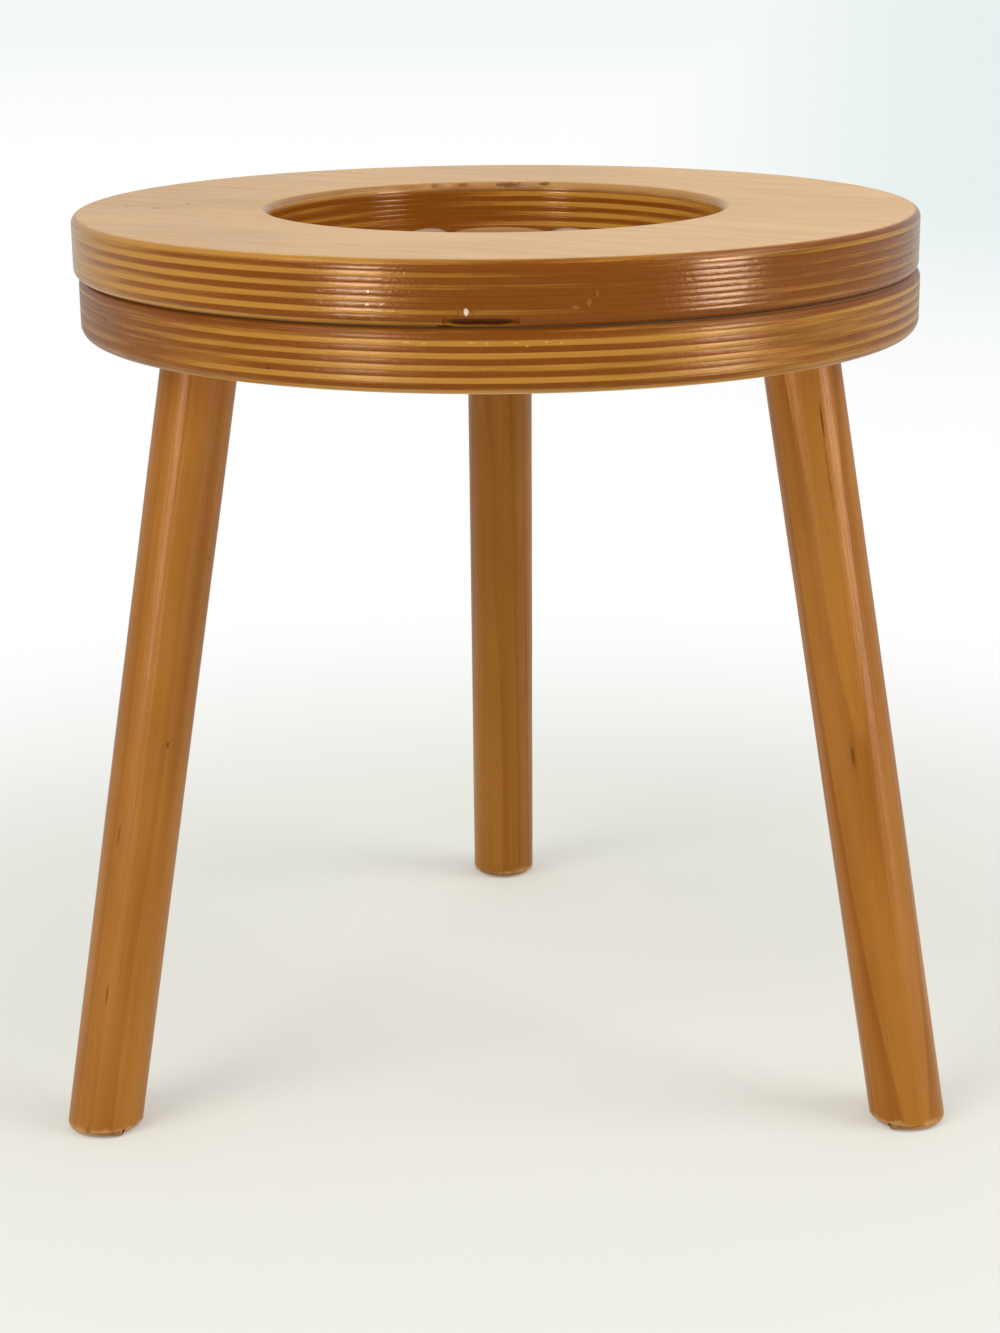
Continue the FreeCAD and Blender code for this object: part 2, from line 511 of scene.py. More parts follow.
def make_rod_grain():
    """Turned wood: growth rings cut lengthways, so that some close in long arches."""
    w, given, out = new_group(
        "rod_grain",
        {"Place": "vector", "Pith": "vector", "Lean": "vector", "Ring": "value",
         "Contrast": "value", "Light": "colour", "Dark": "colour"},
        {"Color": "colour", "Height": "value"})
    place = given["Place"]
    height = w.parts(place)["Z"]
    slow = w.warp(w.scaled(place, 1.0, 1.0, 0.25), 26.0, 0.0045)
    rise = w.vector("MULTIPLY", given["Lean"], w.add("CombineXYZ", {0: height, 1: height}).outputs[0])
    away = w.vector("ADD", w.vector("SUBTRACT", slow, given["Pith"]), rise)
    distance = w.length(w.scaled(away, 1.0, 1.0, 0.0))
    ring = w.math("FRACT", w.math("DIVIDE", distance, given["Ring"]))
    late = w.math("MULTIPLY", w.step(ring, 0.45, 0.94), w.step(ring, 0.94, 1.0, 1.0, 0.0))
    fibres = w.noise(w.scaled(place, 700.0, 700.0, 12.0), 1.0, 3.0, 0.6)
    broad = w.noise(w.scaled(place, 110.0, 110.0, 4.0), 1.0, 1.5)
    cloud = w.noise(w.scaled(place, 60.0, 60.0, 22.0), 1.0, 2.0)
    flecks = w.noise(w.scaled(place, 1500.0, 1500.0, 240.0), 1.0, 1.0, 0.4)
    dark = w.math("MULTIPLY_ADD", late, given["Contrast"], 0.25)
    dark = w.math("ADD", dark, w.spread(fibres, 0.3, 0.7, -0.10, 0.10))
    dark = w.math("ADD", dark, w.spread(cloud, 0.3, 0.7, -0.14, 0.14))
    dark = w.math("ADD", dark, w.spread(broad, 0.3, 0.7, -0.26, 0.26), clamp=True)
    colour = w.mix(dark, given["Light"], given["Dark"])
    colour = w.shade(colour, w.step(flecks, 0.64, 0.80, 1.0, 0.90))
    w.join(colour, out["Color"])
    w.join(w.math("MULTIPLY_ADD", late, 0.2, fibres), out["Height"])


def make_spot():
    """A mark of a given size at one place. Ragged breaks up its edge, and soft lets it fade."""
    w, given, out = new_group(
        "spot",
        {"Place": "vector", "Centre": "vector", "Size": "vector", "Ragged": "value",
         "Soft": "value", "Strength": "value"},
        {"Mask": "value"})
    away = w.vector("DIVIDE", w.vector("SUBTRACT", given["Place"], given["Centre"]), given["Size"])
    rough = w.noise(given["Place"], 900.0, 2.0)
    reach = w.math("MULTIPLY_ADD", w.math("SUBTRACT", rough, 0.5), given["Ragged"], w.length(away))
    mask = w.step(reach, w.math("SUBTRACT", 1.0, given["Soft"]), 1.0, 1.0, 0.0)
    w.join(w.math("MULTIPLY", mask, given["Strength"]), out["Mask"])


def make_varnish_wear():
    """The thick brushed varnish: orange peel, runs, scuffs that dull it."""
    w, given, out = new_group(
        "varnish_wear", {"Place": "vector", "Scuffs": "value"},
        {"Roughness": "value", "Height": "value", "Scuff": "value"})
    peel = w.noise(given["Place"], 420.0, 2.0, 0.5)
    runs = w.noise(given["Place"], 60.0, 1.0)
    scratches = w.noise(w.scaled(w.warp(given["Place"], 30.0, 0.01), 60.0, 900.0, 200.0), 1.0, 2.0)
    patches = w.noise(given["Place"], 25.0, 3.0, 0.6)
    scuff = w.math("MULTIPLY", w.step(scratches, 0.66, 0.74), w.step(patches, 0.52, 0.64))
    scuff = w.math("MULTIPLY", scuff, given["Scuffs"])
    rough = w.math("ADD", w.spread(patches, 0.3, 0.7, 0.15, 0.24), w.math("MULTIPLY", scuff, 0.3))
    w.join(rough, out["Roughness"])
    w.join(w.math("MULTIPLY_ADD", peel, 0.25, runs), out["Height"])
    w.join(scuff, out["Scuff"])


GROUP_MAKERS = (make_ply_edges, make_face_grain, make_rod_grain, make_spot, make_varnish_wear)


def make_groups():
    """Builds each shared node group once."""
    if "ply_edges" not in bpy.data.node_groups:
        for make in GROUP_MAKERS:
            make()


def new_material(name):
    """A material with a Principled shader, and the wiring to feed it."""
    material = bpy.data.materials.new(name)
    material.use_nodes = True
    material.node_tree.nodes.clear()
    w = Wiring(material.node_tree)
    shader = w.add("BsdfPrincipled")
    output = w.add("OutputMaterial")
    w.join(shader.outputs[0], output.inputs["Surface"])
    return material, w, shader.inputs


def object_place(w, shift=(0, 0, 0), turn=(0, 0, 0)):
    """The place on the piece, moved and turned."""
    place = w.add("TexCoord").outputs["Object"]
    return w.add("Mapping", {"Vector": place, "Location": shift, "Rotation": turn}).outputs[0]


def put_varnish(w, shader, colour, relief, wear, dull):
    """Joins a wood colour and its relief to the shader, under a clear gloss that is dull in places."""
    bump = w.add("Bump", {"Height": relief, "Strength": 0.8, "Distance": 0.00025})
    peel = w.add("Bump", {
        "Height": wear["Height"], "Strength": 0.5, "Distance": 0.0004, "Normal": bump.outputs[0]})
    w.join(colour, shader["Base Color"])
    w.join(w.math("MULTIPLY_ADD", dull, 0.16, wear["Roughness"]), shader["Roughness"])
    w.join(w.step(dull, 0.0, 1.4, 0.13, 0.0), shader["Coat Weight"])
    w.join(peel.outputs[0], shader["Normal"])
    shader["Specular Tint"].default_value = (*linear(255, 205, 160), 1)
    shader["Coat Roughness"].default_value = 0.10
    shader["Coat IOR"].default_value = 1.4
    shader["IOR"].default_value = 1.36


def put_marks(w, place, colour, marks, start=Vector()):
    """Lays marks on a colour. Each is a centre, size, raggedness, softness, strength and tint."""
    for centre, size, ragged, soft, strength, tint in marks:
        mask = w.group("spot", place=place, centre=Vector(centre) - start, size=size,
                       ragged=ragged, soft=soft, strength=strength)[0]
        colour = w.mix(mask, colour, linear(*tint))
    return colour


def rim_place(node, bearing, above_low):
    """A point on a ring's rim, at a bearing in degrees and a height above the ring's underside."""
    ring = RING[node]
    angle = math.radians(bearing)
    out = Vector((math.cos(angle), math.sin(angle), 0)) * ring["outer"]
    return ring["centre"] + out + Vector((0, 0, ring["low"] + above_low))


def hole_place(across, height):
    """A point on the far wall of the upper ring's hole."""
    ring = RING["upper_ring"]
    reach = math.sqrt(ring["hole"] ** 2 - across ** 2)
    return Vector((ring["centre"].x + across, reach, height))


def plywood_material(name, node, grain, tones, joint_shade, palm, dull, marks):
    """Varnished plywood for one ring, lighter or darker across it, with its own marks."""
    finish = settings().finish
    ring = RING[node]
    material, w, shader = new_material(name)
    start = ring["centre"] + Vector((0, 0, ring["high"]))
    place = object_place(w, -start)
    facing = w.add("TexCoord").outputs["Normal"]
    ply = (ring["high"] - ring["low"]) / settings().rings.plies
    reach = w.parts(place)
    tone = w.step(reach["X"], *tones)
    inner = w.step(w.length(w.scaled(place, 1.0, 1.0, 0.0)), 0.100, 0.110, 1.0, 0.0)
    tone = w.blend(inner, tone, w.step(reach["X"], -0.03, 0.05, -0.42, 0.05))
    # Painted shade: the plies just under the joint are made darker, as much as joint_shade says
    shade = w.step(reach["Z"], -0.0032, -0.0016, 0.0, joint_shade)
    tone = w.math("SUBTRACT", tone, shade)
    # Painted shade: the rim's colour is darkened towards its left and right ends
    ends = w.step(w.math("ABSOLUTE", reach["X"]), 0.118, 0.150, 1.0, 0.82)
    joint = JOINT_HEIGHT - ring["high"]
    # Painted shade: the groove at the joint between the rings is darkened to a dark brown
    joint_groove_shade = w.step(w.math("ABSOLUTE", w.math("SUBTRACT", reach["Z"], joint)), 0.0003, 0.0010, 0.60, 0.0)
    edges = w.group("ply_edges", place=place, facing=facing, grain=grain, ply=ply, tone=tone,
                    light=finish.ply_light, dark=finish.ply_dark, glue=finish.glue)
    face = w.group("face_grain", place=place, grain=grain, wood=finish.face)
    flat = w.step(w.math("ABSOLUTE", w.parts(facing)["Z"]), 0.80, 0.98)
    # Painted light: the top is made lighter towards the right
    top_with_painted_light = w.shade(face["Color"], w.spread(reach["X"], -0.12, 0.15, 0.97, 1.12))
    # The rounded upper edge of the hole is rubbed pale by hands
    rubbed = w.math("MULTIPLY", inner, w.step(reach["Z"], -0.0042, -0.0020))
    rubbed = w.math("MULTIPLY", rubbed, w.spread(w.noise(place, 90.0, 2.0), 0.3, 0.7, 0.45, 0.85))
    rubbed = w.math("MULTIPLY", rubbed, palm)
    side = w.mix(rubbed, w.shade(edges["Color"], ends), linear(188, 142, 88))
    colour = w.mix(flat, side, top_with_painted_light)
    colour = w.mix(joint_groove_shade, colour, linear(92, 42, 8))
    colour = put_marks(w, place, colour, marks, start)
    wear = w.group("varnish_wear", place=place, scuffs=1.0)
    colour = w.mix(w.math("MULTIPLY", wear["Scuff"], 0.12), colour, finish.bare)
    relief = w.blend(flat, edges["Height"], face["Height"])
    put_varnish(w, shader, colour, relief, wear, w.math("MULTIPLY_ADD", flat, 2.0 - dull, dull))
    return material


def leg_material(name, place_name, pith, lean, ring, contrast, depth, marks):
    """Varnished turned wood for one leg, with its own growth rings and knots."""
    finish = settings().finish
    material, w, shader = new_material(name)
    foot = leg_line(place_name)[0]
    back = leg_turn(place_name).inverted()
    place = object_place(w, -(back @ foot), back.to_euler())
    grain = w.group("rod_grain", place=place, pith=pith, lean=lean, ring=ring, contrast=contrast,
                    light=finish.leg_light, dark=finish.leg_dark)
    # The depth factor lays painted shade or painted light over the whole leg
    colour = put_marks(w, place, w.shade(grain["Color"], depth), marks)
    # The foot's edge is worn down to pale bare wood
    height = w.parts(w.add("TexCoord").outputs["Object"])["Z"]
    ragged_edge = w.math("MULTIPLY_ADD", w.noise(place, 260.0, 3.0, 0.6), -0.006, height)
    bare = w.step(ragged_edge, -0.0012, 0.0006, 1.0, 0.0)
    colour = w.mix(w.math("MULTIPLY", bare, 0.7), colour, finish.bare)
    wear = w.group("varnish_wear", place=place, scuffs=0.6)
    put_varnish(w, shader, colour, grain["Height"], wear, 1.0)
    return material


def bare_material(name):
    """Unvarnished hardwood for the hidden wedges and dowels."""
    finish = settings().finish
    material, w, shader = new_material(name)
    place = object_place(w)
    grain = w.group("rod_grain", place=place, pith=(0.03, 0.02, 0), lean=(0, 0, 0), ring=0.0016,
                    contrast=0.4, light=finish.bare, dark=finish.leg_dark)
    w.join(grain["Color"], shader["Base Color"])
    w.join(w.spread(grain["Height"], 0.0, 1.3, 0.62, 0.8), shader["Roughness"])
    bump = w.add("Bump", {"Height": grain["Height"], "Strength": 0.3, "Distance": 0.0002})
    w.join(bump.outputs[0], shader["Normal"])
    return material


def give_material(piece, material):
    piece.data.materials.clear()
    piece.data.materials.append(material)


# The rings

def ring_outline(node):
    """Adds a ring's section as a closed line: a plate with its corners rounded."""
    ring = RING[node]
    width = ring["outer"] - ring["hole"]
    height = ring["high"] - ring["low"]
    level = (ring["high"] + ring["low"]) / 2
    deselect_all()
    bpy.ops.mesh.primitive_plane_add(
        size=1, location=(ring["hole"] + width / 2, 0, level), rotation=(math.pi / 2, 0, 0))
    bpy.context.object.scale = (width, height, 1)
    piece = start_piece("seat_ring_" + node.split("_")[0])
    bpy.ops.object.mode_set(mode="EDIT")
    must(choose("VERT", lambda v: v.co.z > level), "the upper corners")
    bpy.ops.mesh.bevel(offset=ring["upper_round"], segments=7, affect="VERTICES")
    must(choose("VERT", lambda v: v.co.z < ring["low"] + HAIR), "the lower corners")
    bpy.ops.mesh.bevel(offset=ring["lower_round"], segments=8, affect="VERTICES")
    bpy.ops.mesh.select_all(action="SELECT")
    bpy.ops.mesh.delete(type="ONLY_FACE")

    def flat_run(edge):
        ends = [vertex.co for vertex in edge.verts]
        return abs(ends[0].z - ends[1].z) < HAIR and (ends[0] - ends[1]).length > width / 2

    must(choose("EDGE", flat_run), "the flat faces of a ring")
    bpy.ops.mesh.subdivide(number_cuts=7)
    return piece


def glue_levels(node):
    """The heights of the lines between plies."""
    ring = RING[node]
    plies = settings().rings.plies
    ply = (ring["high"] - ring["low"]) / plies
    return [ring["low"] + ply * count for count in range(1, plies)]


def wear_groove(node, height, depth):
    """Moves the section's points at one height straight in from the surface."""
    ring = RING[node]
    middle_radius = (ring["outer"] + ring["hole"]) / 2
    rounds = (
        (ring["high"] - ring["upper_round"], ring["upper_round"], 1),
        (ring["low"] + ring["lower_round"], ring["lower_round"], -1),
    )
    inward = Vector((1, 0, 0))
    for centre_height, radius, side in rounds:
        rise = (height - centre_height) * side
        if rise > 0:
            sine = rise / radius
            inward = Vector((math.sqrt(1 - sine * sine), 0, -sine * side))
    for rim in (False, True):
        def on_side(vertex):
            return abs(vertex.co.z - height) < HAIR / 5 and (vertex.co.x > middle_radius) == rim

        must(choose("VERT", on_side), "a glue line")
        move = Vector((-inward.x if rim else inward.x, 0, inward.z)) * depth
        bpy.ops.transform.translate(value=move)


def make_ring(node):
    """Models one ring: the glue lines are worn into its section, and that is turned round the centre."""
    ring = RING[node]
    sizes = settings().rings
    piece = ring_outline(node)
    # Each hollow at a glue line has its middle and two points either side
    offsets = ((0.0, 1.0), (0.24, 0.45), (-0.24, 0.45), (0.5, 0.0), (-0.5, 0.0))
    places = [(level + shift * sizes.groove_width, share)
              for level in glue_levels(node) for shift, share in offsets]
    bpy.ops.mesh.select_mode(type="VERT")
    for height, share in places:
        bpy.ops.mesh.select_all(action="SELECT")
        bpy.ops.mesh.bisect(plane_co=(0, 0, height), plane_no=(0, 0, 1), threshold=HAIR / 10)
    for height, share in places:
        if share:
            wear_groove(node, height, share * sizes.groove)
    bpy.ops.object.mode_set(mode="OBJECT")
    apply_modifier(piece, "SCREW", axis="Z", angle=math.tau, screw_offset=0, steps=sizes.steps,
                   render_steps=sizes.steps, use_merge_vertices=True)
    bpy.ops.object.mode_set(mode="EDIT")
    bpy.ops.mesh.select_all(action="SELECT")
    bpy.ops.transform.translate(value=ring["centre"])
    bpy.ops.mesh.remove_doubles(threshold=HAIR / 5)
    bpy.ops.mesh.normals_make_consistent(inside=False)
    return piece


def push_in(node, first, last, low, high, thickness, depth):
    """Sinks the rim's faces between two bearings and two heights above the ring's underside."""
    ring = RING[node]

    def inside(face):
        place = face.calc_center_median()
        outside = math.hypot(place.x - ring["centre"].x, place.y) > ring["outer"] - 0.004
        bearing = azimuth(place, ring["centre"])
        rise = place.z - ring["low"]
        return outside and first < bearing < last and low < rise < high

    must(choose("FACE", inside), "a flaw in the rim")
    bpy.ops.mesh.inset(thickness=thickness, depth=-depth, use_boundary=True)


def make_bores(piece, node):
    """Bores the holes for the legs and the dowels."""
    tools = []
    if node == "lower_ring":
        for place in LEG_PLACES:
            foot, head = leg_line(place)
            along = (head - foot).normalized()
            start = head - along * 0.05
            tools.append(add_rod("bore", start, head + along * 0.01, LEG_RADIUS + 0.00005,
                                 settings().legs.sides))
    for place in DOWEL_PLACES:
        low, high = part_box("dowel_" + place)
        centre = (low + high) / 2
        reach = Vector((0, 0, (high.z - low.z) / 2 + 0.001))
        tools.append(add_rod("bore", centre - reach, centre + reach, (high.x - low.x) / 2 + 0.00005, 32))
    cut_with(piece, joined(tools))


class STOOL_OT_upper_ring(bpy.types.Operator):
    """Models the upper ring of the seat, with the flaws in its rim"""
    bl_idname = "stool.upper_ring"
    bl_label = "Upper Ring"

    def execute(self, context):
        node = "upper_ring"
        sizes = settings().rings
        piece = make_ring(node)
        # A gap in the core veneer just above the joint, and a flake of varnish gone beside it
        push_in(node, -96.4, -87.6, 0.0009, 0.0029, 0.00015, sizes.void_depth)
        push_in(node, -94.6, -93.0, 0.0040, 0.0056, 0.00015, 0.0003)
        bpy.ops.object.mode_set(mode="OBJECT")
        make_bores(piece, node)
        top = RING[node]["high"]
        speck = (112, 80, 58)
        rubbed = (96, 56, 34)
        marks = [
            # The gap in the veneer, the flake beside it, painted highlights (glints) and scratches along
            # the rim
            (rim_place(node, -93.2, 0.0019), (0.0082, 0.0045, 0.0012), 0.1, 0.3, 0.95, (76, 34, 6)),
            (rim_place(node, -90.4, 0.0019), (0.0080, 0.0045, 0.0012), 0.1, 0.3, 0.95, (76, 34, 6)),
            (rim_place(node, -96.0, 0.0004), (0.0034, 0.0045, 0.0005), 0.1, 0.3, 0.9, (60, 24, 6)),
            (rim_place(node, -93.5, 0.0049), (0.0009, 0.0012, 0.0014), 0.6, 0.4, 1.0, (246, 228, 200)),
            (rim_place(node, -105.0, 0.0107), (0.0005, 0.0010, 0.0005), 0.8, 0.5, 0.9, (236, 214, 180)),
            (rim_place(node, -105.2, 0.0068), (0.0008, 0.0010, 0.0004), 0.8, 0.5, 0.9, (228, 200, 160)),
            (rim_place(node, -103.4, 0.0070), (0.0005, 0.0010, 0.0005), 0.8, 0.5, 0.7, (222, 190, 150)),
            (rim_place(node, -80.8, 0.0058), (0.0016, 0.0020, 0.0009), 1.2, 0.8, 0.40, (190, 136, 80)),
            (rim_place(node, -79.2, 0.0074), (0.0010, 0.0020, 0.0016), 1.2, 0.8, 0.35, (190, 136, 80)),
            (rim_place(node, -78.2, 0.0098), (0.0006, 0.0020, 0.0016), 1.2, 0.8, 0.30, (190, 136, 80)),
            # Small dark specks on the top
            ((-0.1215, -0.004, top), (0.0020, 0.0030, 0.001), 1.0, 0.6, 0.5, speck),
            ((-0.1120, 0.010, top), (0.0012, 0.0022, 0.001), 1.0, 0.6, 0.5, speck),
            ((-0.1330, 0.002, top), (0.0010, 0.0020, 0.001), 1.0, 0.6, 0.5, speck),
            # The far edge of the hole, rubbed dark in places and pale in others
            (hole_place(-0.0232, top - 0.0012), (0.0026, 0.0040, 0.0012), 1.6, 0.7, 0.6, rubbed),
            (hole_place(-0.0126, top - 0.0012), (0.0026, 0.0040, 0.0012), 1.6, 0.7, 0.6, rubbed),
            (hole_place(0.0055, top - 0.0014), (0.0062, 0.0040, 0.0013), 1.2, 0.6, 0.75, (84, 50, 34)),
            (hole_place(0.0190, top - 0.0010), (0.0030, 0.0040, 0.0010), 0.6, 0.5, 0.75, (80, 70, 30)),
            (hole_place(-0.0262, top - 0.0016), (0.0024, 0.0040, 0.0012), 1.4, 0.7, 0.4, (200, 156, 108)),
            (hole_place(-0.0184, top - 0.0014), (0.0026, 0.0040, 0.0013), 1.4, 0.7, 0.5, (204, 162, 114)),
            (hole_place(0.0125, top - 0.0018), (0.0050, 0.0040, 0.0014), 1.0, 0.7, 0.6, (164, 122, 100)),
            # Painted reflection at the foot of the hole's far wall: two pale patches, with a tan patch
            # between them that is painted light
            (hole_place(-0.0262, 0.2984), (0.0085, 0.0100, 0.0024), 0.2, 0.3, 0.80, (204, 174, 156)),
            (hole_place(0.0290, 0.2984), (0.0085, 0.0100, 0.0022), 0.2, 0.3, 0.80, (208, 182, 164)),
            (hole_place(0.0018, 0.2986), (0.0195, 0.0060, 0.0019), 0.1, 0.2, 0.9, (196, 146, 96)),
        ]
        give_material(piece, plywood_material(
            "varnished_ply_upper", node, sizes.upper_grain, (-0.15, 0.0, 0.42, -0.50),
            0.0, 1.0, 0.0, marks))
        finish_piece(piece, [node], 40)
        return {"FINISHED"}


class STOOL_OT_lower_ring(bpy.types.Operator):
    """Models the lower ring of the seat and bores it for the legs"""
    bl_idname = "stool.lower_ring"
    bl_label = "Lower Ring"

    def execute(self, context):
        node = "lower_ring"
        piece = make_ring(node)
        bpy.ops.object.mode_set(mode="OBJECT")
        make_bores(piece, node)
        speck = (70, 34, 14)
        marks = [
            (rim_place(node, -151.8, 0.0125), (0.0012, 0.0016, 0.0007), 1.0, 0.5, 0.9, speck),
            (rim_place(node, -25.8, 0.0158), (0.0012, 0.0012, 0.0006), 1.0, 0.5, 0.9, speck),
            (rim_place(node, -119.0, 0.0060), (0.0009, 0.0012, 0.0005), 1.0, 0.5, 0.7, speck),
        ]
        # Pale crumbs in the varnish along the ply under the joint
        for bearing, height, length in (
                (-101.2, 0.0163, 0.0012), (-99.0, 0.0160, 0.0008), (-93.4, 0.0164, 0.0014),
                (-91.6, 0.0161, 0.0007), (-88.2, 0.0163, 0.0009), (-86.9, 0.0152, 0.0006),
                (-84.6, 0.0164, 0.0008), (-82.9, 0.0160, 0.0006)):
            marks.append((rim_place(node, bearing, height), (length, 0.0012, 0.0004),
                          1.4, 0.6, 0.7, (212, 168, 104)))
        grain = settings().rings.lower_grain
        give_material(piece, plywood_material(
            "varnished_ply_lower", node, grain, (-0.15, -0.08, -0.30, 0.0), 0.8, 0.0, 0.7, marks))
        finish_piece(piece, [node], 40)
        return {"FINISHED"}


# The legs

def make_leg(place):
    """Models one leg: a long rod, cut flat at the floor and at the joint, with its foot's edge rounded."""
    sizes = settings().legs
    foot, head = leg_line(place)
    along = (head - foot).normalized()
    piece = add_rod("leg_rod_" + place, foot - along * 0.02, head + along * 0.02, LEG_RADIUS, sizes.sides)
    bpy.ops.object.mode_set(mode="EDIT")
    must(choose("EDGE", lambda e: (e.verts[0].co - e.verts[1].co).length > 0.2), "a leg's long edges")
    bpy.ops.mesh.subdivide(number_cuts=110)
    bpy.ops.mesh.select_all(action="SELECT")
    bpy.ops.mesh.bisect(plane_co=(0, 0, 0), plane_no=(0, 0, 1), use_fill=True, clear_inner=True)
    bpy.ops.mesh.select_all(action="SELECT")
    bpy.ops.mesh.bisect(
        plane_co=(0, 0, JOINT_HEIGHT), plane_no=(0, 0, 1), use_fill=True, clear_outer=True)
    bpy.ops.mesh.select_all(action="SELECT")
    bpy.ops.mesh.remove_doubles(threshold=HAIR * 2)
    bpy.ops.mesh.normals_make_consistent(inside=False)
    must(choose("EDGE", lambda e: max(v.co.z for v in e.verts) < HAIR), "the edge of a foot")
    bpy.ops.mesh.bevel(offset=sizes.foot_bevel, segments=4, profile=0.42, affect="EDGES")
    bpy.ops.object.mode_set(mode="OBJECT")
    return piece


def uneven(piece, place):
    """Makes a leg's surface stray a little, as on a rod that was sanded by hand."""
    shaft = piece.vertex_groups.new(name="shaft")
    rise = [vertex.index for vertex in piece.data.vertices if 0.006 < vertex.co.z < 0.270]
    shaft.add(rise, 1.0, "REPLACE")
    ripple = bpy.data.textures.new("ripple_" + place, "CLOUDS")
    ripple.noise_scale = 0.045
    ripple.noise_depth = 1
    apply_modifier(piece, "DISPLACE", texture=ripple, texture_coords="LOCAL", mid_level=0.5,
                   strength=settings().legs.unevenness, vertex_group="shaft")
    piece.vertex_groups.clear()
    bpy.data.textures.remove(ripple)


def cut_kerf(piece, place):
    """Saws the leg's head and opens the cut to the wedge's shape."""
    sizes = settings().legs
    foot, head = leg_line(place)
    along = (head - foot).normalized()
    outward = Vector((foot.x, foot.y, 0)).normalized()
    sideways = outward.cross(Vector((0, 0, 1)))
    turn = Matrix((along.cross(sideways) * -1, sideways, along)).transposed().to_euler()
    deselect_all()
    rise = 0.006
    bpy.ops.mesh.primitive_cube_add(
        size=1, location=head + along * (rise - sizes.kerf_depth) / 2, rotation=turn)
    bpy.context.object.scale = (LEG_RADIUS * 3, sizes.kerf, sizes.kerf_depth + rise)
    cut_with(piece, start_piece("saw"))
    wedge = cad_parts["wedge_" + place].copy()
    wedge.data = wedge.data.copy()
    wedge.parent = None
    bpy.context.scene.collection.objects.link(wedge)
    work_on(wedge)
    bpy.ops.object.mode_set(mode="EDIT")
    bpy.ops.mesh.select_all(action="SELECT")
    bpy.ops.mesh.remove_doubles(threshold=HAIR)
    must(choose("VERT", lambda v: v.co.z > JOINT_HEIGHT - HAIR), "the top of a wedge")
    bpy.ops.transform.translate(value=(0, 0, 0.0005))
    bpy.ops.object.mode_set(mode="OBJECT")
    cut_with(piece, wedge)


# Each leg's depth is a factor over its whole colour: painted shade on the rear leg, under the seat, and
# painted light on the front right leg
LEG_WOOD = {
    "rear": {
        "pith": (0.050, 0.060), "lean": (0.01, 0.01), "ring": 0.0052, "contrast": 0.30, "depth": 0.84,
        "marks": (
        ((0.0074, -0.0110, 0.0040), (0.0060, 0.0050, 0.0036), 0.8, 0.9, 0.5, (200, 158, 106)),
    )},
    "front_left": {
        "pith": (0.060, 0.055), "lean": (0.02, -0.01), "ring": 0.0064, "contrast": 0.25, "depth": 1.0,
        "marks": (
        ((-0.0132, 0.0002, 0.1452), (0.0010, 0.0007, 0.0016), 0.6, 0.6, 0.8, (98, 56, 22)),
        ((-0.0067, 0.0114, 0.1107), (0.0006, 0.0006, 0.0052), 0.4, 0.6, 0.6, (104, 64, 24)),
        ((-0.0091, 0.0096, 0.0525), (0.0006, 0.0006, 0.0048), 0.4, 0.6, 0.7, (98, 60, 22)),
        ((-0.0090, -0.0096, 0.0696), (0.0007, 0.0007, 0.0030), 0.4, 0.6, 0.4, (110, 66, 26)),
        ((-0.0109, -0.0074, 0.2111), (0.0008, 0.0010, 0.0012), 0.6, 0.6, 0.6, (104, 60, 24)),
        # Painted shade: a long darker band down one side of the leg
        ((-0.0128, -0.0030, 0.1900), (0.0050, 0.0050, 0.1500), 0.5, 0.9, 0.45, (142, 78, 8)),
    )},
    "front_right": {
        "pith": (-0.042, -0.030), "lean": (0.022, 0.016), "ring": 0.0058, "contrast": 0.45, "depth": 1.06,
        "marks": (
        ((0.0097, 0.0089, 0.2554), (0.0005, 0.0005, 0.0092), 0.2, 0.7, 0.9, (72, 34, 8)),
        ((0.0100, 0.0088, 0.2360), (0.0008, 0.0010, 0.0220), 0.4, 0.8, 0.45, (130, 70, 12)),
        ((0.0125, 0.0043, 0.1388), (0.0008, 0.0008, 0.0046), 0.3, 0.6, 0.9, (96, 50, 14)),
        ((0.0125, 0.0043, 0.1388), (0.0022, 0.0022, 0.0130), 0.6, 0.8, 0.35, (130, 76, 18)),
    )},
}


class STOOL_OT_legs(bpy.types.Operator):
    """Models the three legs, each with its own grain"""
    bl_idname = "stool.legs"
    bl_label = "Legs"

    def execute(self, context):
        for place in LEG_PLACES:
            piece = make_leg(place)
            uneven(piece, place)
            cut_kerf(piece, place)
            wood = LEG_WOOD[place]
            material = leg_material(
                "varnished_leg_" + place, place, (*wood["pith"], 0), (*wood["lean"], 0),
                wood["ring"], wood["contrast"], wood["depth"], wood["marks"])
            give_material(piece, material)
            finish_piece(piece, ["leg_" + place], 40)
        return {"FINISHED"}


class STOOL_OT_joinery(bpy.types.Operator):
    """Gives the wedges and dowels inside the seat their bare wood"""
    bl_idname = "stool.joinery"
    bl_label = "Wedges and Dowels"

    def execute(self, context):
        material = bare_material("bare_joinery_wood")
        names = ["wedge_" + place for place in LEG_PLACES] + ["dowel_" + place for place in DOWEL_PLACES]
        for name in names:
            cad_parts[name].material_slots[0].material = material
        return {"FINISHED"}


# The stage

def seen_directly(w, in_gloss):
    """1 for what the camera sees itself, less in gloss, and 0 for light that falls on the object."""
    path = w.add("LightPath").outputs
    seen = w.math("MAXIMUM", path["Is Camera Ray"], path["Is Transmission Ray"])
    return w.math("MULTIPLY_ADD", path["Is Glossy Ray"], in_gloss, seen)


def add_lamp(name, bearing, rise, distance, width, height, power, tint, gloss_only=False):
    """A soft box that looks at the seat. A gloss-only one is just mirrored in the varnish."""
    target = Vector((0, 0, 0.2))
    flat = math.radians(bearing)
    up = math.radians(rise)
    way = Vector((math.cos(flat) * math.cos(up), math.sin(flat) * math.cos(up), math.sin(up)))
    lamp = bpy.data.lights.new(name, "AREA")
    lamp.shape = "RECTANGLE"
    lamp.size = width
    lamp.size_y = height
    lamp.energy = power
    lamp.color = tint
    holder = bpy.data.objects.new(name, lamp)
    holder.location = target + way * distance
    holder.rotation_euler = way.to_track_quat("Z", "Y").to_euler()
    holder.visible_diffuse = not gloss_only
    bpy.context.scene.collection.objects.link(holder)


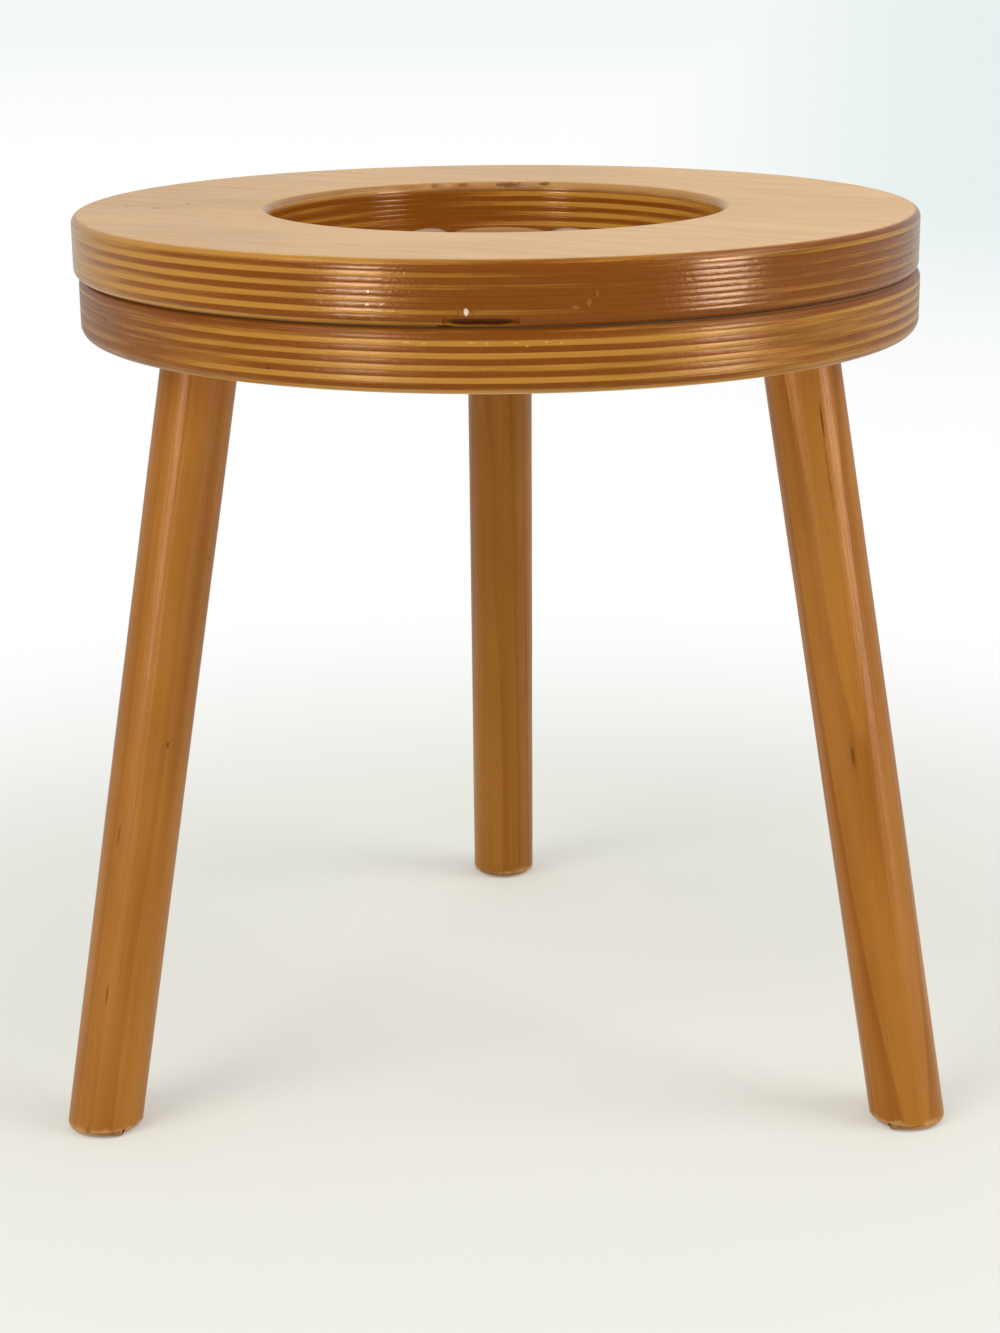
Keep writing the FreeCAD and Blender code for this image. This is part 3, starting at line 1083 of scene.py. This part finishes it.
class STOOL_OT_stage(bpy.types.Operator):
    """Sets the camera, the soft light and the pale floor"""
    bl_idname = "stool.stage"
    bl_label = "Stage"

    def execute(self, context):
        scene = context.scene
        stage = settings().stage
        scene.view_settings.view_transform = "Standard"

        lens = bpy.data.cameras.new("photo_view")
        lens.lens = stage.lens
        lens.clip_start = 0.01
        camera = bpy.data.objects.new("photo_view", lens)
        camera.location = stage.camera_place
        level_view = Matrix.Rotation(math.pi / 2 - stage.camera_pitch, 4, "X")
        camera.rotation_euler = (level_view @ Matrix.Rotation(stage.camera_roll, 4, "Z")).to_euler()
        scene.collection.objects.link(camera)
        scene.camera = camera

        power = stage.lamp_power
        add_lamp("soft_box_left", -138, 40, 1.9, 1.0, 0.9, power, (1.0, 0.985, 0.96))
        add_lamp("soft_box_right", -16, 40, 1.9, 1.0, 0.9, power, (0.98, 0.99, 1.0))
        add_lamp("window_left", -124, 4, 1.8, 0.36, 0.54, stage.window_power, (1.0, 0.97, 0.94), True)
        add_lamp("window_right", -32, 4, 1.8, 0.44, 0.54, stage.window_power * 1.3,
                 (1.0, 0.98, 0.96), True)

        world = bpy.data.worlds.new("white_room")
        world.use_nodes = True
        world.node_tree.nodes.clear()
        w = Wiring(world.node_tree)
        strength = w.blend(seen_directly(w, 0.0), stage.ambient, 1.0)
        sky = w.add("Background", {"Color": linear(255, 255, 255), "Strength": strength})
        w.join(sky.outputs[0], w.add("OutputWorld").inputs["Surface"])
        scene.world = world

        deselect_all()
        bpy.ops.mesh.primitive_circle_add(vertices=96, radius=FLOOR_RADIUS, fill_type="NGON")
        floor = start_piece("pale_floor")
        bpy.ops.object.mode_set(mode="EDIT")
        bpy.ops.mesh.select_all(action="SELECT")
        # A hair under the feet, so their flat ends never share its plane
        bpy.ops.transform.translate(value=(0, 0, -FLOOR_GAP))
        bpy.ops.mesh.inset(thickness=FLOOR_BORDER)
        bpy.ops.object.mode_set(mode="OBJECT")

        material = bpy.data.materials.new("pale_sweep")
        material.use_nodes = True
        material.node_tree.nodes.clear()
        w = Wiring(material.node_tree)
        place = w.add("TexCoord").outputs["Object"]
        uneven_tone = w.spread(w.noise(place, 1.4, 1.0), 0.3, 0.7, 0.985, 1.0)
        paper = w.add("BsdfDiffuse", {"Color": w.shade(linear(239, 241, 231), uneven_tone)})
        glow = w.add("Emission", {"Color": linear(255, 255, 255), "Strength": 1.0})
        away = w.length(place)
        share = w.math("MULTIPLY", seen_directly(w, 0.2), w.step(away, 0.20, 0.64, 0.20, 1.0))
        # Painted shade: a cool grey-blue tint far off on the floor to the right, seen in place of a shaded
        # backdrop
        reach = w.parts(place)
        far = w.math("ADD", reach["Y"], 0.9)
        to_the_right = w.step(w.math("DIVIDE", reach["X"], far), 0.02, 0.19)
        cool_backdrop_shade = w.math("MULTIPLY", w.step(reach["Y"], 0.9, 3.0), to_the_right)
        cool_backdrop_shade = w.math("MAXIMUM", w.math("MULTIPLY", cool_backdrop_shade, 0.85), w.step(reach["Y"], 3.0, 9.0, 0.0, 0.4))
        cool_backdrop_shade = w.math("MULTIPLY", cool_backdrop_shade, w.step(reach["Y"], 15.0, 21.0, 1.0, 0.0))
        w.join(w.mix(cool_backdrop_shade, linear(255, 255, 255), linear(226, 238, 236)), glow.inputs["Color"])
        both = w.add("MixShader", {0: share, 1: paper.outputs[0], 2: glow.outputs[0]})
        # Seen from below, the floor lets the stool's underside show
        below = w.math("MULTIPLY", w.add("NewGeometry").outputs["Backfacing"], seen_directly(w, 0.0))
        clear = w.add("BsdfTransparent")
        shown = w.add("MixShader", {0: below, 1: both.outputs[0], 2: clear.outputs[0]})
        w.join(shown.outputs[0], w.add("OutputMaterial").inputs["Surface"])
        give_material(floor, material)
        return {"FINISHED"}


class STOOL_PT_panel(bpy.types.Panel):
    """Lists the stool's pieces"""
    bl_idname = "STOOL_PT_panel"
    bl_label = "Stool"
    bl_space_type = "VIEW_3D"
    bl_region_type = "UI"
    bl_category = "Stool"

    def draw(self, context):
        layout = self.layout
        for operator in OPERATORS:
            layout.operator(operator.bl_idname)
        for part in ("rings", "legs", "finish", "stage"):
            group = getattr(context.scene.stool, part)
            box = layout.box()
            box.label(text=part.title())
            for name in group.__annotations__:
                box.prop(group, name)


OPERATORS = (
    STOOL_OT_stage,
    STOOL_OT_upper_ring,
    STOOL_OT_lower_ring,
    STOOL_OT_legs,
    STOOL_OT_joinery,
)
SETTINGS = (
    StoolRingSettings,
    StoolLegSettings,
    StoolFinishSettings,
    StoolStageSettings,
    StoolSettings,
)
CLASSES = SETTINGS + OPERATORS + (STOOL_PT_panel,)


def register():
    for item in CLASSES:
        bpy.utils.register_class(item)
    bpy.types.Scene.stool = PointerProperty(type=StoolSettings)


def unregister():
    del bpy.types.Scene.stool
    for item in reversed(CLASSES):
        bpy.utils.unregister_class(item)


def main():
    register()
    make_groups()
    for operator in (
        bpy.ops.stool.stage,
        bpy.ops.stool.upper_ring,
        bpy.ops.stool.lower_ring,
        bpy.ops.stool.legs,
        bpy.ops.stool.joinery,
    ):
        operator()
    deselect_all()


if __name__ == "__main__":
    main()
